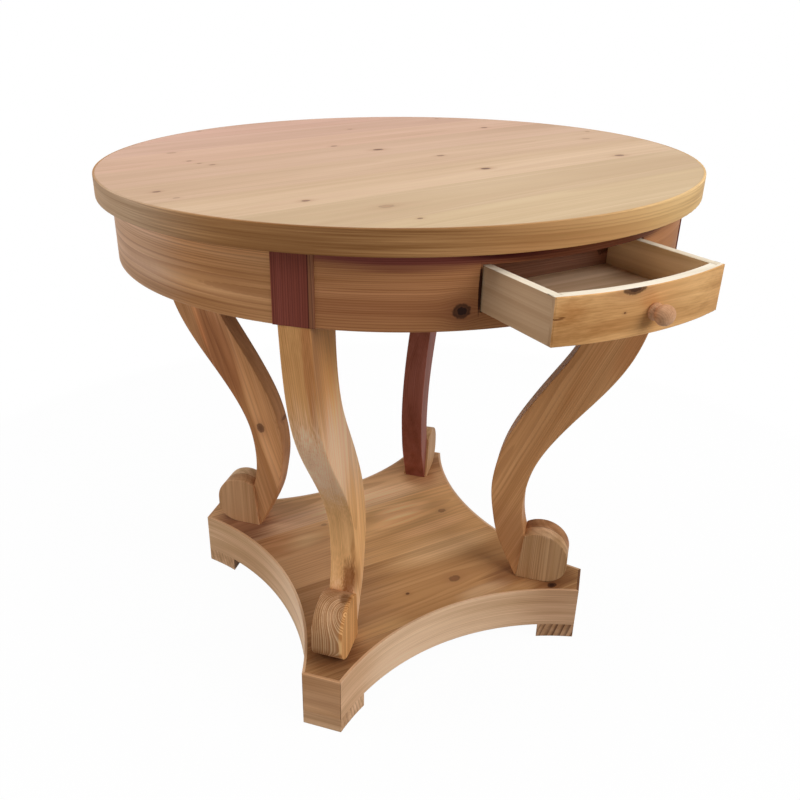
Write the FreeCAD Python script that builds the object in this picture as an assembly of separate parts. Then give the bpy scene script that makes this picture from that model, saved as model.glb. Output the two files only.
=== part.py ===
import FreeCAD, Part
import os
from math import cos, radians, sin, sqrt, tan

# Round tavern table: a disc top on a drum apron with one drawer, four S-shaped legs that end in
# scrolls, and a four-cornered plinth with hollow sides on block feet.
# Millimetres. The origin is on the floor under the middle of the top, +Z is up and the drawer
# opens towards -Y. Left and right are as seen by someone who faces the drawer.

Vec = FreeCAD.Vector
CENTRE = Vec(0, 0, 0)
UP = Vec(0, 0, 1)

# ---------------------------------------------------------------- top
overall_height = 760.0
top_diameter = 813.0
top_thickness = 28.5
edge_band_thickness = 3.0       # bent lipping that covers the boards' ends
edge_band_round = 1.0           # its rounded corners
top_board_width = 101.6
top_board_count = 8
top_board_turn = 6.0            # degrees that the boards run off the drawer's front

# ---------------------------------------------------------------- apron drum
top_overhang = 20.5             # from the apron's face to the top's edge
apron_thickness = 20.0
apron_arris = 1.0
corner_block_width = 48.0
corner_block_proud = 0.8        # how far the blocks' flat faces stand out past the round apron
corner_block_spare = 4.5        # block left over behind the leg

# ---------------------------------------------------------------- legs
leg_width = 38.0
leg_arris = 1.6                 # round on the leg's long corners
leg_setback = 1.0               # from the corner block's face to the leg's face
# The S-curve from the top down: share of the rise above the scroll, share of the reach from the
# scroll's neck to the top, and the leg's depth there.
leg_stations = (
    (1.000, 1.000, 80.0),
    (0.898, 0.971, 78.0),
    (0.792, 0.911, 77.0),
    (0.686, 0.789, 79.0),
    (0.580, 0.580, 81.0),
    (0.474, 0.339, 75.5),
    (0.367, 0.122, 66.5),
    (0.261, -0.020, 57.0),
    (0.155, -0.072, 51.5),
    (0.070, -0.052, 46.5),
    (0.000, 0.000, 46.0),
)
leg_heel_reach = 21.0           # hollow of the leg's back edge above the plinth
leg_heel_rise = 37.5
leg_toe = 2.5                   # flat under the leg's own tip

scroll_width = 46.0
scroll_arris = 1.2
scroll_reach = 262.5            # from the table's axis to the scroll's centre
scroll_rise = 45.0              # from the plinth to the scroll's centre
scroll_radius = 44.0
scroll_flank = 10.0             # straight stretch on the scroll's front
scroll_seat_reach = 33.5        # from the scroll's centre back to the foot of the glue line
scroll_seam_lean = 0.093        # slope of the glue line between the scroll and the leg

# ---------------------------------------------------------------- plinth
plinth_thickness = 70.0
plinth_corner_reach = 330.0     # from the axis to a corner's flat face
plinth_waist = 191.5            # from the axis to the middle of a hollow side
plinth_arc_radius = 395.0
plinth_board_thickness = 20.0
plinth_board_width = 150.0
plinth_first_seam = -195.0      # Y of the seam nearest the drawer
plinth_facing_thickness = 4.0
plinth_arris = 1.0
plinth_block_size = 106.0
foot_height = 26.5
foot_depth = 57.0               # from the corner's face to the straight cut on the inside
foot_arris = 3.0

# ---------------------------------------------------------------- drawer
window_width = 215.0
window_height = 51.0
window_rise = 19.0              # rail left under the window
window_head = 15.5              # rail left over the window
drawer_open = 108.0             # how far out the drawer stands
drawer_travel = 130.0           # from shut to caught by the stop
drawer_side_gap = 1.5
drawer_edge_gap = 1.25
drawer_depth = 172.0            # from the middle of the front to the back
drawer_front_thickness = 12.0
drawer_wall_thickness = 10.0
drawer_lap = 7.0                # depth of the side's rebate in the front
drawer_housing = 3.0            # depth of the back's housing in the sides
drawer_bottom_thickness = 5.0
drawer_bottom_rise = 6.0
drawer_groove = 4.0
drawer_arris = 0.8
stop_block_width = 40.0
stop_block_thickness = 8.0
stop_block_below = 20.0         # glued down the back of the drawer
stop_block_headroom = 3.0       # over the block, in the kicker's notch

runner_web = 15.0
runner_ledge_width = 12.5
runner_ledge_thickness = 9.0
runner_gap = 1.0
runner_lift = 0.25              # running gap under the drawer
runner_tail = 10.0              # runner behind the shut drawer
kicker_width = 50.0
kicker_tail = 26.0              # kicker behind its notch
kicker_web = 3.5                # left above the notch
stop_gap = 0.3                  # left between the stop block and the notch's ends

# ---------------------------------------------------------------- knob
knob_ball_radius = 10.3
knob_ball_flat = 8.2            # half its thickness along the knob's axis
knob_ball_rim = 7.6             # radius of the tighter round at its rim
knob_ball_centre = 14.0         # from the drawer's face
knob_base_radius = 8.8
knob_base_rim = 1.4             # how far the base's bead swells
knob_base_length = 5.5
knob_neck_radius = 6.0
knob_tenon_radius = 5.0
knob_tenon_length = 10.0
knob_drop = 1.5                 # below the middle of the front

# ---------------------------------------------------------------- fixings
dowel_radius = 4.0
dowel_length = 40.0
dowel_edge = 21.5               # from the apron's edges to its dowels
leg_dowel_inset = 19.0          # from the leg's faces to its dowels
bolt_radius = 4.0
bolt_length = 105.0
bolt_head_radius = 7.5
bolt_head_height = 5.5
bolt_recess_radius = 10.0
bolt_recess_depth = 10.0
bolt_back_from_scroll = 7.5     # from the scroll's centre towards the axis
screw_radius = 2.25
screw_length = 45.0
short_screw_length = 30.0       # in the kicker
screw_head_radius = 4.5
screw_head_height = 3.0
screw_tip_length = 6.0
screw_cover = 25.0              # wood between a screw's head and the top in the runners
screw_pocket_radius = 5.0
foot_screw_spread = 15.0
foot_screw_inset = 30.0
pocket_screw_tilt = 15.0        # degrees
pocket_screw_cover = 22.0
pocket_screw_turn = 25.0        # degrees each side of an apron's middle

# ---------------------------------------------------------------- worked out from the above
top_radius = top_diameter / 2
top_underside = overall_height - top_thickness
apron_radius = top_radius - top_overhang
apron_inner_radius = apron_radius - apron_thickness
apron_height = window_rise + window_height + window_head
apron_bottom = top_underside - apron_height
corner_block_face = apron_radius + corner_block_proud
leg_face = corner_block_face - leg_setback
plinth_top = foot_height + plinth_thickness
window_bottom = apron_bottom + window_rise
window_top = window_bottom + window_height
drawer_half_width = window_width / 2 - drawer_side_gap
drawer_base = window_bottom + drawer_edge_gap
drawer_height = window_height - 2 * drawer_edge_gap
drawer_rim = drawer_base + drawer_height
drawer_shut_back = -(apron_radius - drawer_depth)
inner_half_width = drawer_half_width - drawer_wall_thickness

SIDES = ("front", "right", "back", "left")
CORNERS = ("front_right", "back_right", "back_left", "front_left")

nodes = {}


def turned(shape, degrees_about_axis):
    """The shape turned about the table's axis."""
    copy = shape.copy()
    copy.rotate(CENTRE, UP, degrees_about_axis)
    return copy


def box_between(low, high):
    """A box between two opposite corners."""
    size = [high[i] - low[i] for i in range(3)]
    return Part.makeBox(size[0], size[1], size[2], Vec(*low))


def disc(radius, bottom, top):
    """An upright cylinder on the table's axis."""
    return Part.makeCylinder(radius, top - bottom, Vec(0, 0, bottom), UP)


def prism(edges, height):
    """A flat outline in a horizontal plane, raised by a height."""
    return Part.Face(Part.Wire(edges)).extrude(UP * height)


def without(shape, tools):
    """The shape with every tool that reaches it cut away."""
    near = [tool for tool in tools if tool.BoundBox.intersect(shape.BoundBox)]
    if not near:
        return shape
    return shape.cut(Part.makeCompound(near))


def one_solid(shape):
    """A boolean result as a plain solid."""
    return shape.removeSplitter().Solids[0]


def eased(solid, radius, picked):
    """The solid with a small round on each edge that the test picks."""
    return solid.makeFillet(radius, [edge for edge in solid.Edges if picked(edge)])


def middle_of(edge):
    """The point halfway along an edge."""
    return edge.valueAt((edge.FirstParameter + edge.LastParameter) / 2)


def at_reach(reach):
    """A test for edges whose middle is this far from the table's axis, or further."""
    def picked(edge):
        point = middle_of(edge)
        return sqrt(point.x ** 2 + point.y ** 2) > reach - 0.01
    return picked


# ---------------------------------------------------------------- fixings


def screw(head, direction, length=screw_length):
    """A countersunk wood screw, from the flat of its head along its shank."""
    cone = Part.makeCone(screw_head_radius, screw_radius, screw_head_height, head, direction)
    shank_start = head + direction * screw_head_height
    shank_length = length - screw_head_height - screw_tip_length
    shank = Part.makeCylinder(screw_radius, shank_length, shank_start, direction)
    tip_start = shank_start + direction * shank_length
    tip = Part.makeCone(screw_radius, screw_radius / 4, screw_tip_length, tip_start, direction)
    return cone.fuse([shank, tip]).removeSplitter()


def foot_screws():
    """Two screws in each foot, up into the plinth's corner block."""
    screws = []
    for corner in range(4):
        for side in (-foot_screw_spread, foot_screw_spread):
            head = Vec(plinth_corner_reach - foot_screw_inset, side, 1.0)
            screws.append(turned(screw(head, UP), -45 + 90 * corner))
    return screws


def runner_middle():
    """Distance from the table's middle plane to the middle of a runner's web."""
    return drawer_half_width + runner_gap + runner_web / 2


def runner_screw_places():
    """Where the screws of the runners go up into the top."""
    back_end = drawer_shut_back + runner_tail
    front_end = -sqrt(apron_inner_radius ** 2 - (runner_middle() + runner_web / 2) ** 2)
    run = back_end - front_end
    places = []
    for side in (-1, 1):
        for share in (0.2, 0.8):
            places.append((side * runner_middle(), front_end + share * run))
    return places


def kicker_screw_places():
    """Y of the kicker's screws, in the solid wood before and behind its notch."""
    front = (notch_front() - apron_inner_radius) / 2
    return [front, notch_back() + kicker_tail / 2]


def hung_screws():
    """The screws that hang the runners and the kicker from the top."""
    head = top_underside - screw_cover
    screws = [screw(Vec(x, y, head), UP) for x, y in runner_screw_places()]
    for y in kicker_screw_places():
        screws.append(screw(Vec(0, y, window_top), UP, short_screw_length))
    return screws


def runner_screw_pockets():
    """Counterbores that take the heads of the runners' screws up into the wood."""
    pockets = []
    for x, y in runner_screw_places():
        low = Vec(x, y, apron_bottom)
        height = top_underside - screw_cover - apron_bottom
        pockets.append(Part.makeCylinder(screw_pocket_radius, height, low, UP))
    return pockets


def pocket_screw_frames():
    """Head point and direction of the slanted screws from the apron up into the top."""
    tilt = radians(pocket_screw_tilt)
    direction = Vec(sin(tilt), 0, cos(tilt))
    middle = apron_radius - apron_thickness / 2
    head = Vec(middle - pocket_screw_cover * tan(tilt), 0, top_underside - pocket_screw_cover)
    frames = []
    for side in range(4):
        for turn in (-pocket_screw_turn, pocket_screw_turn):
            frames.append((head, direction, -90 + 90 * side + turn))
    return frames


def top_screws():
    """The slanted screws that hold the top on the apron."""
    return [turned(screw(head, direction), turn) for head, direction, turn in pocket_screw_frames()]


def top_screw_pockets():
    """The slanted pockets in the apron's inner face."""
    pockets = []
    for head, direction, turn in pocket_screw_frames():
        pocket = Part.makeCylinder(screw_pocket_radius, apron_height, head, direction * -1)
        pockets.append(turned(pocket, turn))
    return pockets


def leg_bolt():
    """A hexagon-headed coach bolt, up through block and board into the scroll."""
    reach = scroll_reach - bolt_back_from_scroll
    seat = Vec(reach, 0, foot_height + bolt_recess_depth)
    ring = []
    for corner in range(7):
        angle = radians(60 * corner)
        low = seat - UP * bolt_head_height
        ring.append(low + Vec(cos(angle), sin(angle), 0) * bolt_head_radius)
    head = Part.Face(Part.makePolygon(ring)).extrude(UP * bolt_head_height)
    shank = Part.makeCylinder(bolt_radius, bolt_length, seat, UP)
    return head.fuse(shank)


def leg_bolts():
    return [turned(leg_bolt(), -45 + 90 * corner) for corner in range(4)]


def bolt_recesses():
    """The recesses for the bolts' heads in the undersides of the plinth's corner blocks."""
    low = Vec(scroll_reach - bolt_back_from_scroll, 0, foot_height)
    recess = Part.makeCylinder(bolt_recess_radius, bolt_recess_depth, low, UP)
    return [turned(recess, -45 + 90 * corner) for corner in range(4)]


def joint_dowels():
    """Dowels between the legs and the corner blocks, and between the blocks and the aprons."""
    dowels = []
    leg_back = leg_face - leg_stations[0][2]
    half = dowel_length / 2
    middle = apron_radius - apron_thickness / 2
    apron_reach = sqrt(middle ** 2 - (corner_block_width / 2) ** 2)
    for corner in range(4):
        turn = -45 + 90 * corner
        for reach in (leg_back + leg_dowel_inset, leg_face - leg_dowel_inset):
            low = Vec(reach, 0, apron_bottom - half)
            dowels.append(turned(Part.makeCylinder(dowel_radius, dowel_length, low, UP), turn))
        for side in (-1, 1):
            for height in (apron_bottom + dowel_edge, top_underside - dowel_edge):
                start = Vec(apron_reach, side * (corner_block_width / 2 - half), height)
                out = Vec(0, side, 0)
                dowel = Part.makeCylinder(dowel_radius, dowel_length, start, out)
                dowels.append(turned(dowel, turn))
    return dowels


# ---------------------------------------------------------------- top


def make_top():
    """Edge-glued boards cut to a disc, inside a bent edge band."""
    inner = disc(top_radius - edge_band_thickness, top_underside, overall_height)
    band = disc(top_radius, top_underside, overall_height).cut(inner)
    on_rim = at_reach(top_radius)
    rims = [edge for edge in band.Edges if on_rim(edge) and edge.BoundBox.ZLength < 0.01]
    nodes["top_edge_band"] = band.makeFillet(edge_band_round, rims)
    fixings = hung_screws() + top_screws()
    first = -top_board_width * top_board_count / 2
    for number in range(top_board_count):
        low = first + number * top_board_width
        high = low + top_board_width
        if number == 0:
            low = -top_radius
        if number == top_board_count - 1:
            high = top_radius
        strip = box_between((-top_radius, low, top_underside), (top_radius, high, overall_height))
        board = turned(strip, top_board_turn).common(inner)
        nodes["top_board_%d" % (number + 1)] = one_solid(without(board, fixings))


# ---------------------------------------------------------------- apron drum


def corner_block():
    """The upright block over a leg, lying along +X."""
    half = corner_block_width / 2
    inner = leg_face - leg_stations[0][2] - corner_block_spare
    block = box_between((inner, -half, apron_bottom), (corner_block_face, half, top_underside))

    def on_show(edge):
        return edge.BoundBox.XMin > corner_block_face - 0.01 and edge.BoundBox.ZMin < top_underside - 0.01
    return eased(block, corner_block_proud, on_show)


def window():
    """The opening for the drawer, straight through the front of the drum."""
    half = window_width / 2
    return box_between((-half, -apron_radius * 1.1, window_bottom), (half, 0, window_top))


def make_apron():
    """Four curved aprons, each between two corner blocks."""
    dowels = joint_dowels()
    blocks = [turned(corner_block(), -45 + 90 * corner) for corner in range(4)]
    for name, block in zip(CORNERS, blocks):
        nodes["corner_block_" + name] = without(block, dowels)
    drum = disc(apron_radius, apron_bottom, top_underside)
    drum = drum.cut(disc(apron_inner_radius, apron_bottom, top_underside))
    cuts = dowels + top_screws() + top_screw_pockets()
    for side, name in enumerate(SIDES):
        reach = apron_radius * 2
        ends = [Vec(0, 0, apron_bottom), Vec(reach, -reach, apron_bottom)]
        ends += [Vec(-reach, -reach, apron_bottom), Vec(0, 0, apron_bottom)]
        wedge = Part.Face(Part.makePolygon(ends)).extrude(UP * apron_height)
        apron = drum.common(turned(wedge, 90 * side)).cut(Part.makeCompound(blocks))
        apron = eased(apron, apron_arris, on_lower_rim)
        if name == "front":
            apron = apron.cut(window())
        nodes["apron_" + name] = one_solid(without(apron, cuts))


def on_lower_rim(edge):
    """Whether an edge is the apron's outer lower one."""
    return at_reach(apron_radius)(edge) and edge.BoundBox.ZMax < apron_bottom + 0.01


# ---------------------------------------------------------------- legs


def scroll_seam():
    """Foot and head of the glue line between the leg and its scroll, in the leg's own plane."""
    foot = Vec(scroll_reach - scroll_seat_reach, 0, plinth_top)
    along = Vec(scroll_seam_lean, 0, 1).normalize()
    centre = Vec(scroll_reach, 0, plinth_top + scroll_rise)
    offset = foot - centre
    half_b = offset.dot(along)
    inside = half_b ** 2 - offset.dot(offset) + scroll_radius ** 2
    head = foot + along * (-half_b + sqrt(inside))
    return foot, head


def leg_edges():
    """Points of the leg's front edge and back edge, from the top down to the scroll's neck."""
    seam_foot, seam_head = scroll_seam()
    top_middle = leg_face - leg_stations[0][2] / 2
    neck_middle = seam_head.x - leg_stations[-1][2] / 2
    front = []
    back = []
    for rise, reach, depth in leg_stations:
        middle = neck_middle + reach * (top_middle - neck_middle)
        height = seam_head.z + rise * (apron_bottom - seam_head.z)
        front.append(Vec(middle + depth / 2, 0, height))
        back.append(Vec(middle - depth / 2, 0, height))
    return front, back


def smooth(points):
    """A smooth curve through the points."""
    curve = Part.BSplineCurve()
    curve.interpolate(points)
    return curve.toShape()


def slab(edges, width):
    """An upright outline in the leg's plane, as a board of the given width."""
    face = Part.Face(Part.Wire(edges))
    face.translate(Vec(0, -width / 2, 0))
    solid = face.extrude(Vec(0, width, 0))
    return solid


def leg_stem():
    """The S-shaped leg, sawn from a thick board, lying along +X."""
    seam_foot, seam_head = scroll_seam()
    front, back = leg_edges()
    heel = Vec(seam_foot.x - leg_heel_reach, 0, plinth_top + leg_heel_rise)
    toe = Vec(seam_foot.x - leg_toe, 0, plinth_top)
    back = back + [heel, toe]
    edges = [smooth(front)]
    edges.append(Part.makeLine(front[-1], seam_foot))
    edges.append(Part.makeLine(seam_foot, toe))
    edges.append(smooth(back[::-1]))
    edges.append(Part.makeLine(back[0], front[0]))
    return eased(slab(edges, leg_width), leg_arris, lambda edge: edge.Length > leg_width * 3)


def leg_scroll():
    """The scroll, a wider block glued to the front of the leg's foot, lying along +X."""
    seam_foot, seam_head = scroll_seam()
    centre = Vec(scroll_reach, 0, plinth_top + scroll_rise)
    front = scroll_reach + scroll_radius
    flank_top = Vec(front, 0, centre.z)
    flank_foot = Vec(front, 0, centre.z - scroll_flank)
    lower_radius = flank_foot.z - plinth_top
    lower_centre = Vec(front - lower_radius, 0, flank_foot.z)
    lower_end = Vec(lower_centre.x, 0, plinth_top)
    lower_middle = lower_centre + Vec(cos(radians(45)), 0, -sin(radians(45))) * lower_radius
    crown = centre + UP * scroll_radius
    edges = [Part.makeLine(seam_foot, lower_end)]
    edges.append(Part.Arc(lower_end, lower_middle, flank_foot).toShape())
    edges.append(Part.makeLine(flank_foot, flank_top))
    edges.append(Part.Arc(flank_top, crown, seam_head).toShape())
    edges.append(Part.makeLine(seam_head, seam_foot))
    return eased(slab(edges, scroll_width), scroll_arris, lambda edge: edge.BoundBox.YLength < 0.01)


def make_legs():
    dowels = joint_dowels()
    bolts = leg_bolts()
    for corner, name in enumerate(CORNERS):
        turn = -45 + 90 * corner
        nodes["leg_" + name] = without(turned(leg_stem(), turn), dowels)
        nodes["scroll_" + name] = without(turned(leg_scroll(), turn), bolts)


# ---------------------------------------------------------------- plinth


def plinth_corner(inset):
    """Where the front's hollow meets the front right corner's face, for an outline set in."""
    radius = plinth_arc_radius + inset
    face = (plinth_corner_reach - inset) * sqrt(2)
    gap = plinth_waist + plinth_arc_radius - face
    x = (sqrt(2 * radius ** 2 - gap ** 2) - gap) / 2
    return x, x - face


def hollow_side(inset, height):
    """The front's hollow, an arc from left to right."""
    x, y = plinth_corner(inset)
    middle = Vec(0, -(plinth_waist - inset), height)
    return Part.Arc(Vec(-x, y, height), middle, Vec(x, y, height)).toShape()


def plinth_slab(inset, bottom, top):
    """The plinth's outline, set in by a distance, between two heights."""
    x, y = plinth_corner(inset)
    edges = []
    for side in range(4):
        arc = hollow_side(inset, bottom)
        face = Part.makeLine(Vec(x, y, bottom), Vec(-y, -x, bottom))
        edges.append(turned(arc, 90 * side))
        edges.append(turned(face, 90 * side))
    return prism(edges, top - bottom)


def facing_prism(corners):
    """A prism as high as the facings, over corners given as X and Y."""
    points = [Vec(x, y, foot_height) for x, y in corners + corners[:1]]
    return Part.Face(Part.makePolygon(points)).extrude(UP * plinth_thickness)


def plinth_side_facing():
    """The bent facing of the front's hollow, mitred at both ends."""
    outer_x, outer_y = plinth_corner(0)
    inner_x, inner_y = plinth_corner(plinth_facing_thickness)
    lean = (inner_x - outer_x) / (inner_y - outer_y)
    out_y = outer_y * 1.02
    in_y = -plinth_waist * 0.9
    out_x = outer_x + lean * (out_y - outer_y)
    in_x = outer_x + lean * (in_y - outer_y)
    between_mitres = facing_prism([(-out_x, out_y), (out_x, out_y), (in_x, in_y), (-in_x, in_y)])
    radius = plinth_arc_radius
    low = Vec(0, -plinth_waist - radius, foot_height)
    ring = Part.makeCylinder(radius + plinth_facing_thickness, plinth_thickness, low, UP)
    ring = ring.cut(Part.makeCylinder(radius, plinth_thickness, low, UP))
    return one_solid(ring.common(between_mitres))


def plinth_corner_facing():
    """The flat facing of the front right corner."""
    outer_x, outer_y = plinth_corner(0)
    inner_x, inner_y = plinth_corner(plinth_facing_thickness)
    ring = [(outer_x, outer_y), (-outer_y, -outer_x), (-inner_y, -inner_x), (inner_x, inner_y)]
    return eased(facing_prism(ring), plinth_arris, at_corner_face)


def at_corner_face(edge):
    """Whether an edge runs across the middle of a plinth corner's outer face."""
    return at_reach(plinth_corner_reach)(edge) and edge.BoundBox.ZLength < 0.01


def make_facings():
    for number in range(4):
        nodes["plinth_facing_" + SIDES[number]] = turned(plinth_side_facing(), 90 * number)
        nodes["plinth_corner_facing_" + CORNERS[number]] = turned(plinth_corner_facing(), 90 * number)


def corner_square(size, bottom, top):
    """A square at the front right corner, as far out as the plinth goes."""
    edge = -plinth_corner(0)[1]
    return box_between((edge - size, -edge, bottom), (edge, size - edge, top))


def make_plinth():
    """Boards on corner blocks, inside the facings."""
    fixings = leg_bolts() + bolt_recesses() + foot_screws()
    block_top = plinth_top - plinth_board_thickness
    core = plinth_slab(plinth_facing_thickness, foot_height, block_top)
    square = corner_square(plinth_block_size, foot_height, block_top)
    for corner, name in enumerate(CORNERS):
        block = core.common(turned(square, 90 * corner))
        nodes["plinth_block_" + name] = one_solid(without(block, fixings))
    panel = plinth_slab(plinth_facing_thickness, block_top, plinth_top)
    limit = plinth_corner_reach
    seams = [-limit]
    seams += [plinth_first_seam + plinth_board_width * number for number in range(3)]
    seams.append(limit)
    for number in range(4):
        strip = box_between((-limit, seams[number], block_top), (limit, seams[number + 1], plinth_top))
        board = without(panel.common(strip), leg_bolts()).removeSplitter()
        pieces = sorted(board.Solids, key=lambda piece: piece.CenterOfMass.x)
        if len(pieces) == 1:
            nodes["plinth_board_%d" % (number + 1)] = pieces[0]
        else:
            nodes["plinth_board_%d_left" % (number + 1)] = pieces[0]
            nodes["plinth_board_%d_right" % (number + 1)] = pieces[1]


def make_feet():
    """Block feet under the corners, cut straight across on the inside."""
    outline = plinth_slab(0, 0, foot_height)
    fixings = foot_screws() + foot_screw_recesses()
    inner = plinth_corner_reach - foot_depth
    outer = plinth_corner_reach * 1.1
    for corner, name in enumerate(CORNERS):
        under = box_between((inner, -plinth_waist, 0), (outer, plinth_waist, foot_height))
        foot = one_solid(outline.common(turned(under, -45 + 90 * corner)))
        foot = eased(foot, foot_arris, lambda edge: edge.BoundBox.ZMax < 0.01)
        nodes["foot_" + name] = one_solid(without(foot, fixings))


def foot_screw_recesses():
    """The last of each countersink, from the screw's head down to the foot's underside."""
    recesses = []
    for corner in range(4):
        for side in (-foot_screw_spread, foot_screw_spread):
            low = Vec(plinth_corner_reach - foot_screw_inset, side, 0)
            recess = Part.makeCylinder(screw_head_radius, 1.0, low, UP)
            recesses.append(turned(recess, -45 + 90 * corner))
    return recesses


# ---------------------------------------------------------------- drawer and what carries it


def opened(shape):
    """A drawer piece moved from shut to where the drawer stands."""
    copy = shape.copy()
    copy.translate(Vec(0, -drawer_open, 0))
    return copy


def drawer_bottom_panel():
    """The thin bottom, let into grooves on all four sides."""
    half = inner_half_width + drawer_groove
    low = drawer_base + drawer_bottom_rise
    back = drawer_shut_back - drawer_wall_thickness + drawer_groove
    panel = box_between((-half, -apron_radius, low), (half, back, low + drawer_bottom_thickness))
    curve = disc(apron_radius - drawer_front_thickness + drawer_groove, low, drawer_rim)
    return panel.common(curve)


def drawer_back_panel():
    half = inner_half_width + drawer_housing
    front = drawer_shut_back - drawer_wall_thickness
    return box_between((-half, front, drawer_base), (half, drawer_shut_back, drawer_rim))


def drawer_side_panel(side):
    """A side, cut at the front to the curve of the rebate in the drawer's front."""
    near = side * inner_half_width
    far = side * drawer_half_width
    low = (min(near, far), -apron_radius, drawer_base)
    high = (max(near, far), drawer_shut_back, drawer_rim)
    reach = apron_radius - drawer_front_thickness + drawer_lap
    panel = box_between(low, high).common(disc(reach, drawer_base, drawer_rim))

    def on_rim(edge):
        return edge.BoundBox.ZMin > drawer_rim - 0.01 and edge.BoundBox.XLength < 0.01
    return eased(panel, drawer_arris, on_rim)


def drawer_front_panel():
    """The curved front, concentric with the drum when shut."""
    half = drawer_half_width
    curve = disc(apron_radius, drawer_base, drawer_rim)
    curve = curve.cut(disc(apron_radius - drawer_front_thickness, drawer_base, drawer_rim))
    width = box_between((-half, -apron_radius * 1.1, drawer_base), (half, 0, drawer_rim))
    return eased(one_solid(curve.common(width)), drawer_arris, at_reach(apron_radius))


def knob():
    """A turned knob with a beaded base, a flattened ball and a tenon."""
    rim_middle = knob_ball_radius - knob_ball_rim
    ball_start = knob_ball_centre - sqrt(knob_ball_rim ** 2 - (knob_neck_radius - rim_middle) ** 2)
    points = [Vec(0, knob_tenon_length, 0), Vec(knob_tenon_radius, knob_tenon_length, 0)]
    points += [Vec(knob_tenon_radius, 0, 0), Vec(knob_base_radius - knob_base_rim, 0, 0)]
    edges = [Part.makeLine(points[i], points[i + 1]) for i in range(3)]
    bead_middle = Vec(knob_base_radius, -knob_base_length / 2, 0)
    bead_end = Vec(knob_base_radius - knob_base_rim, -knob_base_length, 0)
    edges.append(Part.Arc(points[3], bead_middle, bead_end).toShape())
    ball_foot = Vec(knob_neck_radius, -ball_start, 0)
    edges.append(Part.makeLine(bead_end, ball_foot))
    ball_side = Vec(knob_ball_radius, -knob_ball_centre, 0)
    ball_tip = Vec(0, -knob_ball_centre - knob_ball_flat, 0)
    less = knob_ball_flat - knob_ball_rim
    behind = (rim_middle ** 2 - less ** 2) / (2 * less)
    cap_middle = Vec(0, behind - knob_ball_centre, 0)
    cap_radius = knob_ball_flat + behind
    to_rim = Vec(rim_middle, -behind, 0).normalize()
    cap_edge = cap_middle + to_rim * cap_radius
    halfway = cap_middle + (to_rim + Vec(0, -1, 0)).normalize() * cap_radius
    edges.append(Part.Arc(ball_foot, ball_side, cap_edge).toShape())
    edges.append(Part.Arc(cap_edge, halfway, ball_tip).toShape())
    edges.append(Part.makeLine(ball_tip, points[0]))
    solid = Part.Face(Part.Wire(edges)).revolve(CENTRE, Vec(0, 1, 0), 360)
    solid.translate(Vec(0, -apron_radius, drawer_base + drawer_height / 2 - knob_drop))
    return solid


def stop_block():
    """The block on the drawer's back that stands up into the kicker's notch."""
    half = stop_block_width / 2
    low = (-half, drawer_shut_back, drawer_rim - stop_block_below)
    top = top_underside - kicker_web - stop_block_headroom
    high = (half, drawer_shut_back + stop_block_thickness, top)
    return box_between(low, high)


def make_drawer():
    bottom = drawer_bottom_panel()
    back = drawer_back_panel()
    sides = {"left": drawer_side_panel(-1), "right": drawer_side_panel(1)}
    turned_knob = knob()
    front_tools = list(sides.values()) + [bottom, turned_knob]
    nodes["drawer_bottom"] = opened(bottom)
    nodes["drawer_back"] = opened(one_solid(back.cut(bottom)))
    nodes["drawer_knob"] = opened(turned_knob)
    nodes["drawer_stop_block"] = opened(stop_block())
    for name, side in sides.items():
        nodes["drawer_side_" + name] = opened(one_solid(without(side, [bottom, back])))
    nodes["drawer_front"] = opened(one_solid(without(drawer_front_panel(), front_tools)))


def notch_front():
    """Y where the stop block catches when the drawer is pulled out."""
    return drawer_shut_back - drawer_travel - stop_gap


def notch_back():
    """Y where the stop block rests when the drawer is shut."""
    return drawer_shut_back + stop_block_thickness + stop_gap


def kicker():
    """The rail over the drawer, which keeps it level and holds both its stops."""
    half = kicker_width / 2
    back = notch_back() + kicker_tail
    rail = box_between((-half, -apron_radius, window_top), (half, back, top_underside))
    rail = rail.common(disc(apron_inner_radius, window_top, top_underside))
    notch_low = (-half, notch_front(), window_top)
    notch_high = (half, notch_back(), top_underside - kicker_web)
    return rail.cut(box_between(notch_low, notch_high))


def runner(side):
    """An L-shaped runner hung from the top, with a ledge under the drawer's side."""
    inner = drawer_half_width + runner_gap
    ledge_top = drawer_base - runner_lift
    low = ledge_top - runner_ledge_thickness
    back = drawer_shut_back + runner_tail
    web = box_between((inner, -apron_radius, low), (inner + runner_web, back, top_underside))
    ledge = box_between((inner - runner_ledge_width, -apron_radius, low), (inner, back, ledge_top))
    profile = web.fuse(ledge).common(disc(apron_inner_radius, low, top_underside))
    if side < 0:
        profile = profile.mirror(CENTRE, Vec(1, 0, 0))
    return profile


def make_drawer_carriers():
    tools = hung_screws() + runner_screw_pockets()
    nodes["drawer_runner_left"] = one_solid(without(runner(-1), tools))
    nodes["drawer_runner_right"] = one_solid(without(runner(1), tools))
    nodes["drawer_kicker"] = one_solid(without(kicker(), tools))


def make_fixings():
    nodes["joint_dowels"] = Part.makeCompound(joint_dowels())
    nodes["leg_bolts"] = Part.makeCompound(leg_bolts())
    nodes["wood_screws"] = Part.makeCompound(foot_screws() + hung_screws())
    nodes["top_screws"] = Part.makeCompound(top_screws())


make_top()
make_apron()
make_legs()
make_plinth()
make_facings()
make_feet()
make_drawer_carriers()
make_drawer()
make_fixings()

os.makedirs("parts", exist_ok=True)
for node, shape in nodes.items():
    shape.exportStep("parts/%s.step" % node)
print(len(nodes), "nodes,", sum(len(shape.Solids) for shape in nodes.values()), "solids")
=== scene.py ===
"""Looks of a round tavern table, built around its CAD frame: timbers, lacquer, stage and camera."""

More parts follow.
